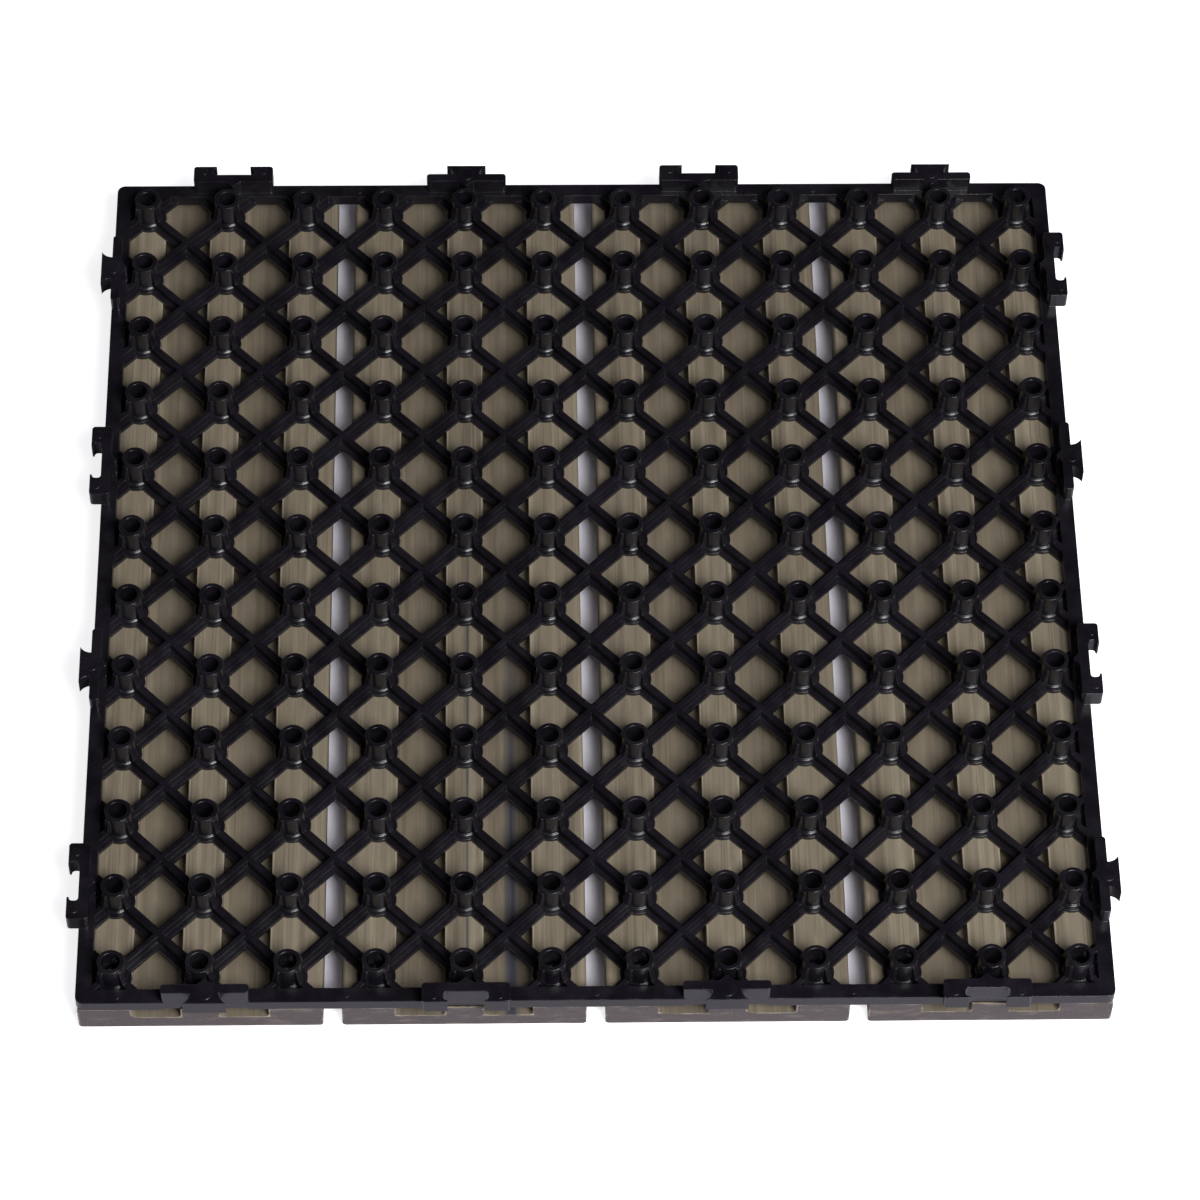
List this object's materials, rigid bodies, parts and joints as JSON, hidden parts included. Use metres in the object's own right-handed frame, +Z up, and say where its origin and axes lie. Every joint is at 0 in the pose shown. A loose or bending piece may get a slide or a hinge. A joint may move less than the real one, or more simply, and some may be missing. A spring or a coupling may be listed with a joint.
{
  "type": "composite deck tile",
  "caption": "Square interlocking deck tile, wood-composite slats screwed to a black moulded grid with peg feet and edge clips, lying walking face down.",
  "frame": {"origin": "centre of the walking face, on the surface that the tile lies on", "axes": "+X across the slats, +Y along the slats, +Z up, from the walking face to the peg tops"},
  "size_m": [0.3018, 0.3018, 0.0198],
  "materials": {
    "black_plastic": "satin moulded polypropylene",
    "wood_composite": "extruded wood and plastic composite, matt",
    "zinc_plated_steel": "bright zinc plate"
  },
  "bodies": {
    "root": {"base_grid": "black_plastic", "slat_1": "wood_composite", "slat_2": "wood_composite", "slat_3": "wood_composite", "slat_4": "wood_composite", "screws": "zinc_plated_steel"}
  },
  "joints": []
}
